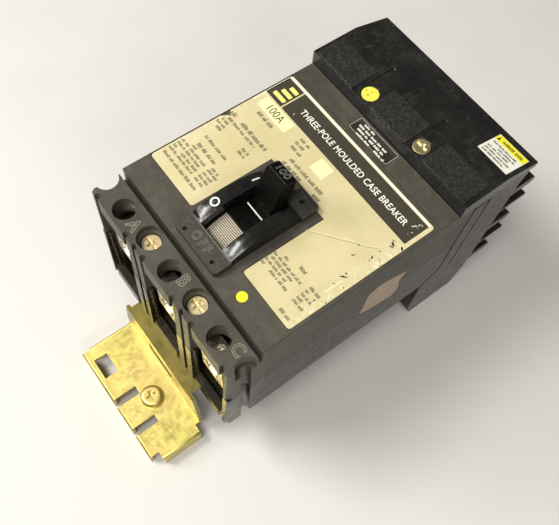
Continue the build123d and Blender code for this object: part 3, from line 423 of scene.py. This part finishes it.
fibre_bar = moulded("fibre_bar", (0.24, 0.15, 0.075), (0.30, 0.20, 0.10), (0.5, 0.65), 0.3)
woven_patch = woven()


# ---------------------------------------------------------------- the CAD nodes' finish and edges
WELD_DISTANCE = 0.000002
FLAT_ANGLE = math.radians(0.6)
EDGE_ANGLE = math.radians(38)


def dress(name, material, edge, flatten):
    """Give a CAD node its finish, and a small bevel of the given width where its edges are seen."""
    obj = nodes[name]
    if not obj.data.materials:
        obj.data.materials.append(material)
    for slot in obj.material_slots:
        slot.link = "OBJECT"
        slot.material = material
    if edge:
        weld = obj.modifiers.new("weld", "WELD")
        weld.merge_threshold = WELD_DISTANCE
        if flatten:
            flat = obj.modifiers.new("flat", "DECIMATE")
            flat.decimate_type = "DISSOLVE"
            flat.angle_limit = FLAT_ANGLE
        bevel = obj.modifiers.new("edges", "BEVEL")
        bevel.width = edge / 1000
        bevel.segments = 2
        bevel.limit_method = "ANGLE"
        bevel.angle_limit = EDGE_ANGLE
        bevel.harden_normals = True
        bevel.miter_outer = "MITER_ARC"


# the finish of each node, and the bevel on its edges in millimetres
finish_of = {
    "base": (case_black, 0.3), "cover": (cover_grey, 0.3), "escutcheon": (bezel_black, 0.4),
    "handle": (handle_black, 0), "shutter": (inner_black, 0), "nameplate": (label_cream, 0),
    "seal_dot": (yellow_dot, 0), "strip_sticker": (sticker_brown, 0), "side_sticker": (seal_paper, 0),
    "line_cap": (cap_black, 0.35), "caution_sticker": (sticker_white, 0), "load_screws": (brass, 0.15),
    "cap_screw_a": (yellow_paint, 0.15), "cap_screw_b": (brass, 0.15), "jaw_housing": (case_black, 0.3),
    "jaw_springs": (steel, 0), "fixed_contacts": (silver, 0), "crossbar": (inner_black, 0),
    "crank_pin": (steel, 0), "contact_arms": (copper, 0), "moving_contacts": (silver, 0),
    "upper_links": (steel, 0), "lower_links": (steel, 0), "knee_pin": (steel, 0), "cradle": (steel, 0),
    "cradle_pins": (steel, 0), "mechanism_frame": (steel, 0), "handle_pin": (steel, 0),
    "spring_pin": (steel, 0), "toggle_springs": (steel, 0), "load_straps": (copper, 0),
    "bimetals": (bimetal, 0), "magnet_yokes": (steel, 0), "trip_bar": (fibre_bar, 0),
    "armature_brackets": (steel, 0), "braids": (copper, 0), "bracket": (zinc, 0.2),
    "bracket_rivets": (steel, 0), "bracket_screw": (zinc, 0),
}
for pole in "abc":
    finish_of["line_strap_" + pole] = (copper, 0)
    finish_of["jaw_" + pole] = (copper, 0.15)
    finish_of["arc_chute_" + pole] = (steel, 0)
    finish_of["lug_" + pole] = (tinned, 0.25)
    finish_of["lug_screw_" + pole] = (tinned, 0)
    finish_of["armature_" + pole] = (steel, 0)
keeps_facets = ("line_cap", "escutcheon")
for node_name, (finish, edge) in finish_of.items():
    dress(node_name, finish, edge, node_name not in keeps_facets)


# ---------------------------------------------------------------- mesh helpers for the added pieces
def piece(name, mesh, material, body="case"):
    """A new object that rides on one body."""
    obj = bpy.data.objects.new(name, mesh)
    bpy.context.scene.collection.objects.link(obj)
    if not mesh.materials:
        mesh.materials.append(material)
    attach(obj, body)
    return obj


def from_bm(name, bm, material, body="case"):
    mesh = bpy.data.meshes.new(name)
    bmesh.ops.recalc_face_normals(bm, faces=bm.faces)
    bm.to_mesh(mesh)
    bm.free()
    return piece(name, mesh, material, body)


def plate(bm, outline, low, high):
    """A closed thin plate from an outline of (x, y) points; its two heights are numbers or functions."""
    lower = low if callable(low) else (lambda x, y: low)
    upper = high if callable(high) else (lambda x, y: high)
    bottom = [bm.verts.new(at(x, y, lower(x, y))) for x, y in outline]
    top = [bm.verts.new(at(x, y, upper(x, y))) for x, y in outline]
    bm.faces.new(top)
    bm.faces.new(list(reversed(bottom)))
    for i in range(len(outline)):
        j = (i + 1) % len(outline)
        bm.faces.new((bottom[i], bottom[j], top[j], top[i]))


def on_face(name, outlines, material, low, high):
    """Thin plates on one face of the case, joined in one piece."""
    bm = bmesh.new()
    for outline in outlines:
        plate(bm, outline, low, high)
    return from_bm(name, bm, material)


def box_outline(x0, x1, y0, y1):
    return [(x0, y0), (x1, y0), (x1, y1), (x0, y1)]


def rounded(x0, x1, y0, y1, radius, steps=5):
    """Outline of a rectangle with rounded corners."""
    points = []
    for cx, cy, start in ((x1 - radius, y1 - radius, 0), (x0 + radius, y1 - radius, 90),
                          (x0 + radius, y0 + radius, 180), (x1 - radius, y0 + radius, 270)):
        for k in range(steps + 1):
            a = math.radians(start + 90 * k / steps)
            points.append((cx + radius * math.cos(a), cy + radius * math.sin(a)))
    return points


def letters(name, text, material, place, size, along, up, depth=0.05, outline=0.0, body="case", spacing=1.0,
            stretch=1.0, bold=0.0):
    """Text laid on a face: place is its middle, along and up its two directions.

    An outline makes raised hollow letters of round wire, and without one the letters are flat.
    """
    curve = bpy.data.curves.new(name, "FONT")
    curve.body = text
    curve.size = size / 1000
    curve.space_character = spacing
    curve.align_x = "CENTER"
    curve.align_y = "CENTER"
    curve.resolution_u = 3
    curve.offset = bold / 1000
    if outline:
        curve.fill_mode = "NONE"
        curve.bevel_depth = outline / 1000
        curve.bevel_resolution = 1
    else:
        curve.extrude = depth / 1000
    holder = bpy.data.objects.new(name, curve)
    bpy.context.scene.collection.objects.link(holder)
    bpy.context.view_layer.update()
    mesh = bpy.data.meshes.new_from_object(holder.evaluated_get(bpy.context.evaluated_depsgraph_get()))
    bpy.data.objects.remove(holder)
    along, up = Vector(along).normalized(), Vector(up).normalized()
    turn = Matrix((along * stretch, up, along.cross(up))).transposed().to_4x4()
    mesh.transform(Matrix.Translation(at(*place)) @ turn)
    mesh.materials.clear()
    return piece(name, mesh, material, body)


# ---------------------------------------------------------------- the nameplate's print
LABEL_TOP = -0.2
SINK = 0.02              # how far a print reaches into the face that carries it


def label_print(name, outlines, material, lift=0.03):
    """Ink on the nameplate, and the painted shade and painted highlight of its crease, as thin plates of a
    given height.
    """
    return on_face(name, outlines, material, LABEL_TOP - SINK, LABEL_TOP + lift)


def bars(rng, x, y_start, y_end, height, word=(1.2, 4.2), gap=0.55, solid=0.92):
    """One line of plain bars in place of words, from y_start down to y_end."""
    out = []
    y = y_start
    while y > y_end + 0.6:
        step = min(rng.uniform(*word), y - y_end)
        if rng.random() < solid:
            letter = y
            while letter > y - step + 0.2:
                wide = min(rng.uniform(0.35, 0.62), letter - (y - step))
                tall = height * rng.choice((0.72, 1.0, 1.0, 0.85))
                out.append([(x - height / 2, letter - wide), (x - height / 2 + tall, letter - wide),
                            (x - height / 2 + tall, letter), (x - height / 2, letter)])
                letter -= wide + 0.22
        y -= step + gap
    return out


def flake(rng, x, y, size, ragged=0.45, corners=11):
    """A ragged patch where the label or its print is torn away."""
    turn = rng.uniform(0, 6.28)
    cos_turn, sin_turn = math.cos(turn), math.sin(turn)
    stretch = rng.uniform(1.2, 2.2)
    points = []
    for k in range(corners):
        a = 2 * math.pi * k / corners
        r = size * rng.uniform(1 - ragged, 1 + ragged)
        u = r * math.cos(a) * stretch
        v = r * math.sin(a) / stretch
        points.append((x + u * cos_turn - v * sin_turn, y + u * sin_turn + v * cos_turn))
    return points


def ribbon(points, width):
    """A narrow tapering strip along a line of points."""
    left, right = [], []
    for k, (x, y) in enumerate(points):
        before = points[max(k - 1, 0)]
        after = points[min(k + 1, len(points) - 1)]
        dx, dy = after[0] - before[0], after[1] - before[1]
        size = math.hypot(dx, dy)
        half = width / 2 * (0.35 + 0.65 * math.sin(math.pi * (k + 0.5) / len(points)))
        left.append((x - dy / size * half, y + dx / size * half))
        right.append((x + dy / size * half, y - dx / size * half))
    return left + right[::-1]


rng = random.Random(11)
label_print("label_band", [rounded(77.6, 91.7, -48.4, 39.2, 0.15, 1)], band_ink)
label_print("label_badge_ground", [rounded(77.6, 91.7, 40.0, 51.2, 0.2, 1)], band_ink)
badge_bars = [rounded(79.6 + k * 3.8, 81.9 + k * 3.8, 40.9, 48.9 - 1.4 * k, 0.5, 3) for k in range(3)]
label_print("label_badge", badge_bars, badge_ink, 0.05)
white_lines = [rounded(92.1, 93.2, -48.4, 50.6, 0.3, 2), rounded(70.0, 92.0, 50.8, 51.3, 0.2, 1)]
label_print("label_line", white_lines, white_ink)
label_print("rating_box", [box_outline(69.8, 76.5, 27.5, 48.0)], pale_ink)
label_print("pale_square", [box_outline(68.2, 75.8, -2.4, 6.0)], pale_ink)
letters("rating_number", "100A", black_ink, (73.1, 38.2, LABEL_TOP + 0.04), 6.2, READ, UP, 0.01, stretch=0.85)
letters("band_words", "THREE-POLE MOULDED CASE BREAKER", white_ink, (84.4, -4.6, LABEL_TOP + 0.045), 4.7,
        READ, UP, 0.01, spacing=1.04, stretch=0.86, bold=0.05)

# lines of plain bars: distance from the load edge, start and end across the plate, height of the print
TEXT_LINES = (
    (67.3, 43.5, 32.5, 2.1), (57.3, 50.6, 24.0, 2.2), (54.2, 48.5, 28.0, 1.6), (39.8, 46.0, 30.0, 1.6),
    (34.6, 44.5, 31.0, 1.9), (32.2, 45.0, 42.0, 1.5), (32.2, 30.0, 25.0, 1.5), (20.0, 50.0, 25.0, 1.7),
    (74.4, 20.0, 13.5, 1.6), (71.5, 20.0, 14.5, 1.6), (68.4, 19.5, 12.5, 1.6), (63.8, 14.0, -9.0, 1.9),
    (60.6, 15.0, -11.0, 1.9), (34.7, -31.0, -35.0, 1.8), (32.5, -23.5, -28.0, 1.6), (32.5, -40.8, -46.8, 1.6),
    (16.8, -41.0, -47.3, 1.7),
)
# tables of the same: distances of the rows, start and end of each column, height of the print
TEXT_TABLES = (
    ((51.7, 49.3, 47.0), ((50.6, 45.0), (31.0, 27.0)), 1.5),
    ((30.2, 27.9, 25.6, 23.4), ((50.6, 45.8), (44.2, 33.0), (30.5, 23.5)), 1.45),
    ((30.2, 28.0, 25.7, 23.5), ((-18.0, -29.5), (-31.0, -37.0), (-40.8, -46.6)), 1.45),
)
text_rows = []
for x, start, end, height in TEXT_LINES:
    text_rows += bars(rng, x, start, end, height, (2.0, 5.0), 0.8)
for heights, columns, height in TEXT_TABLES:
    for x in heights:
        for start, end in columns:
            text_rows += bars(rng, x, start, end - rng.uniform(0, 0.8), height, (1.5, 4.0), 0.7)
label_print("label_text", text_rows, grey_ink, 0.035)



# damage: a notch at the far edge, a crease from the handle to the corner, tears and rubbed places
notch = [(51.6, 51.6), (57.4, 51.6), (56.2, 50.4), (55.6, 48.6), (54.8, 49.9), (53.4, 50.6)]
label_print("label_notch", [notch], cover_grey, 0.03)
crease = [(46.0, -17.6), (51.2, -24.0), (56.0, -30.2), (60.4, -35.4), (63.4, -40.0), (67.0, -43.6)]


# the crease is drawn as two lines: a painted shade line in darker cream, and a painted highlight line in
# paler cream just beside it
label_print("label_crease", [ribbon(crease, 0.4)], crease_shade, 0.03)
crease_side = [(x + 0.35, y + 0.35) for x, y in crease]
label_print("label_crease_highlight", [ribbon(crease_side, 0.35)], highlight_and_rubbed_cream, 0.05)
TEARS = (
    (73.6, -45.4, 1.0), (72.2, -46.2, 0.6), (75.0, -44.6, 0.4), (66.6, -44.8, 0.45), (62.2, -45.2, 0.6),
    (61.3, -37.4, 0.4), (56.3, -39.6, 0.45), (46.6, -45.0, 0.9), (48.4, -44.6, 0.4), (41.4, -45.2, 0.35),
    (81.4, -45.2, 0.7), (60.2, -45.6, 0.3),
)
SCRATCHES = ((87.4, -44.6, 0.35), (88.4, -45.2, 0.3), (80.2, 33.0, 0.35), (50.0, -45.6, 0.35))
torn = [flake(rng, x, y, r) for x, y, r in TEARS]
label_print("label_tears", torn, band_ink, 0.05)
rubbed = []
for k in range(16):
    rubbed.append(flake(rng, rng.uniform(24, 76), rng.uniform(-50.0, -48.2), rng.uniform(0.4, 1.0)))
for k in range(5):
    rubbed.append(flake(rng, rng.uniform(79, 91), rng.uniform(-46.4, -44.4), rng.uniform(0.15, 0.35)))
rubbed += [flake(rng, x, y, r) for x, y, r in SCRATCHES]
rubbed.append(ribbon([(36.0, -46.3), (40.5, -45.9), (45.0, -46.1)], 0.9))
rubbed.append(ribbon([(85.8, -43.6), (87.4, -44.8), (89.2, -45.6)], 0.5))
for k in range(9):
    rubbed.append(flake(rng, rng.uniform(30, 74), rng.uniform(49.4, 50.9), rng.uniform(0.25, 0.6)))
PLATE_NEAR_Y, PLATE_FAR_Y = -50.3, 51.5
rubbed = [[(x, max(min(y, PLATE_FAR_Y), PLATE_NEAR_Y)) for x, y in points] for points in rubbed]
label_print("label_rubbed", rubbed, highlight_and_rubbed_cream, 0.045)


# ---------------------------------------------------------------- print on the two stickers
CAP_KINK_X, CAP_TOP_Z = 133.0, 7.4
CAP_SLOPE = 5.3 / 21.5
STICKER_THICK = 0.17


def sloped(x, y):
    """Height of the caution sticker's face on the end cap's slope."""
    return CAP_TOP_Z - (x - CAP_KINK_X) * CAP_SLOPE + STICKER_THICK


def over(face, lift):
    """A face raised by a small height."""
    return lambda x, y: face(x, y) + lift


STRIP_LOW, STRIP_HIGH = 0.1, 0.155
strip_rows = []
for row, (y_start, y_end) in enumerate(((9.0, 1.0), (10.5, -9.5), (9.5, -8.5), (8.0, -11.0))):
    strip_rows += bars(rng, 103.6 - row * 2.05, y_start, y_end, 1.15, (2.0, 5.0), 0.7)
on_face("strip_print", strip_rows, white_ink, STRIP_LOW, STRIP_HIGH)
strip_edge = [rounded(97.0, 105.2, 12.9, 13.2, 0.1, 1), rounded(97.0, 105.2, -13.2, -12.9, 0.1, 1),
              rounded(97.0, 97.3, -13.2, 13.2, 0.1, 1), rounded(104.9, 105.2, -13.2, 13.2, 0.1, 1)]
on_face("strip_border", strip_edge, mark_grey, STRIP_LOW, 0.15)
on_face("caution_band", [box_outline(145.4, 150.0, -50.4, -32.5)], sticker_yellow,
        over(sloped, -SINK), over(sloped, 0.03))
caution_rows = bars(rng, 147.6, -36.5, -48.5, 1.9, (4.0, 7.0), 0.8)
for row in range(5):
    caution_rows += bars(rng, 143.7 - row * 2.1, -33.6, -48.8 + rng.uniform(0, 3), 1.15, (2.0, 5.0), 0.6)
on_face("caution_print", caution_rows, black_ink, over(sloped, 0.0), over(sloped, 0.05))
on_face("caution_mark", [[(146.2, -34.8), (146.2, -33.2), (149.0, -34.0)]], black_ink, over(sloped, 0.0),
        over(sloped, 0.05))

# ---------------------------------------------------------------- marks on the escutcheon, shutter and handle
PIVOT_X, PIVOT_Z = 29.5, -32.0
HUMP, SHIELD, SHUTTER = 40.3, 35.3, 33.9        # radii about the pivot
LEAN = math.radians(18.0)
HANDLE_LENGTH = 56.2
TIP_MIDDLE = 0.7         # the tip's middle is this far towards ON from the handle's centre line


def arc_height(radius):
    """Height of a cylinder about the handle's pivot."""
    return lambda x, y: PIVOT_Z + math.sqrt(radius * radius - (x - PIVOT_X) ** 2)


def skin(name, x0, x1, y0, y1, radius, thick, material, body, steps):
    """A thin patch bent about the handle's pivot."""
    sink = 0.03
    height = arc_height(radius)
    bm = bmesh.new()
    rows = []
    for k in range(steps + 1):
        x = x0 + (x1 - x0) * k / steps
        z = height(x, 0)
        rows.append([bm.verts.new(at(x, y, z + lift)) for y in (y0, y1) for lift in (-sink, thick)])
    for a, b in zip(rows, rows[1:]):
        bm.faces.new((a[1], b[1], b[3], a[3]))
        bm.faces.new((a[0], a[2], b[2], b[0]))
        bm.faces.new((a[0], b[0], b[1], a[1]))
        bm.faces.new((a[2], a[3], b[3], b[2]))
    bm.faces.new((rows[0][0], rows[0][1], rows[0][3], rows[0][2]))
    bm.faces.new((rows[-1][0], rows[-1][2], rows[-1][3], rows[-1][1]))
    return from_bm(name, bm, material, body)


def ring(name, x, y, inner, outer, radius, material, steps=28):
    """A thin flat ring on the curved hump."""
    height = arc_height(radius)
    bm = bmesh.new()
    loops = []
    for k in range(steps):
        a = 2 * math.pi * k / steps
        column = []
        for r in (inner, outer):
            px, py = x + r * math.cos(a), y + r * math.sin(a)
            column += [bm.verts.new(at(px, py, height(px, py) + lift)) for lift in (-0.05, 0.05)]
        loops.append(column)
    for k in range(steps):
        a, b = loops[k], loops[(k + 1) % steps]
        for i, j in ((0, 1), (1, 3), (3, 2), (2, 0)):
            bm.faces.new((a[i], b[i], b[j], a[j]))
    return from_bm(name, bm, material)


white_fill = ink_and_painted_light("white_fill", (0.84, 0.83, 0.78), (0.50, 0.48, 0.42), (0.35, 0.5), 0.25)
skin("mark_on_bar", 40.3, 44.3, 10.7, 11.5, HUMP, 0.05, white_fill, "case", 6)
ring("mark_off_ring", 21.2, 11.3, 1.45, 2.15, HUMP, white_fill)
skin("handle_line", 33.4, 34.0, -5.4, 5.2, SHIELD, 0.05, white_fill, "handle_body", 2)
skin("woven_patch", 13.0, 24.6, -7.0, 7.0, SHUTTER, 0.03, woven_patch, "shutter_body", 14)

BLOCK_Z, SHELF_Z = 3.82, -3.2
# painted highlight: the raised outline letters on the end blocks and on the handle's tip are coloured light
# grey, far paler than the black moulding, for the light caught on their edges
for word, x, y in (("O", 7.0, 4.1), ("F", 7.0, -0.2), ("F", 7.0, -3.7), ("O", 53.4, 5.2), ("N", 53.4, 0.3)):
    letters("word_%s_%d" % (word, round(x * 10 + y)), word, mark_dark, (x, y, BLOCK_Z), 5.8, READ, UP,
            outline=0.1, bold=0.12, stretch=0.92)
tip_place = (PIVOT_X + HANDLE_LENGTH * math.sin(LEAN) + TIP_MIDDLE * math.cos(LEAN), 0.0,
             PIVOT_Z + HANDLE_LENGTH * math.cos(LEAN) - TIP_MIDDLE * math.sin(LEAN))
letters("handle_rating", "100", mark_dark, tip_place, 4.9, READ, (math.cos(LEAN), 0, -math.sin(LEAN)),
        outline=0.1, body="handle_body", stretch=1.15)
# the pole letters' pale tan is partly rubbed wear and partly a painted highlight on their raised edges
for word, x, y in (("A", -10.5, 26.8), ("B", -7.6, -6.9), ("C", -6.6, -44.6)):
    letters("pole_" + word, word, mark_grey, (x, y, SHELF_Z), 8.0, READ, UP,
            outline=0.11, bold=0.1, stretch=0.95)


# ---------------------------------------------------------------- floor
def floor_pale():
    g = Graph("floor_pale")
    soft = g.noise(0.02, 4, 0.5)
    colour = g.mix(soft, (0.66, 0.64, 0.61), (0.70, 0.68, 0.65))
    g.bump(g.noise(0.6, 4), 0.04, 0.05)
    return g.finish(colour, g.band(soft, 0.3, 0.7, (0.55, 0.7)))


bpy.ops.mesh.primitive_plane_add(size=6, location=(0, 0, 0))
floor = bpy.context.object
floor.name = "floor"
floor.data.materials.append(floor_pale())
